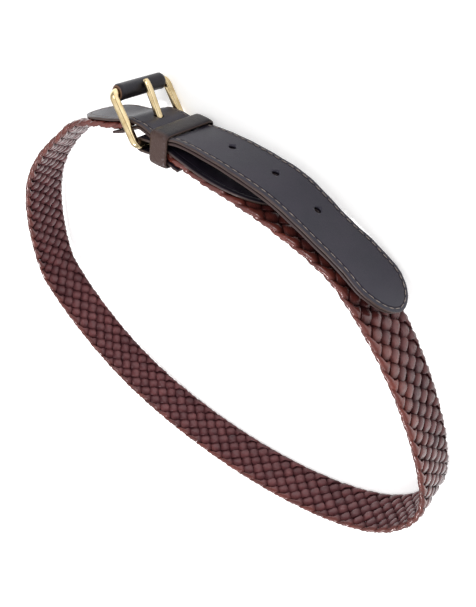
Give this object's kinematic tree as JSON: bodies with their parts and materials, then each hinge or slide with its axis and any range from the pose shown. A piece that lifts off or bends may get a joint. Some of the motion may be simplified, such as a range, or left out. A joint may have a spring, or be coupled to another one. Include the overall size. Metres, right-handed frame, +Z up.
{
  "type": "braided belt",
  "caption": "Braided leather belt buckled into a standing loop, with plain leather tab, chape and keeper, and a wire buckle with a prong and a leather-wrapped roller.",
  "frame": {"origin": "on the ground, under the middle of the belt's box", "axes": "+Z up, across the strap's width; +X along the loop's longer way, towards the buckle's end of the front; the tab and buckle are on the -Y side"},
  "size_m": [0.3266, 0.2912, 0.0435],
  "materials": {
    "plaited_leather": "glossy, dyed dark reddish brown",
    "smooth_leather": "satin, dyed nearly black brown",
    "lining_leather": "matt brown with a burnished edge",
    "brass": "polished, lightly worn"
  },
  "bodies": {
    "root": {"braided_strap": "plaited_leather", "tab_face": "smooth_leather", "tab_lining": "lining_leather", "chape": "smooth_leather", "keeper": "smooth_leather", "buckle_frame": "brass", "prong": "brass", "roller_wrap": "smooth_leather"}
  },
  "joints": []
}
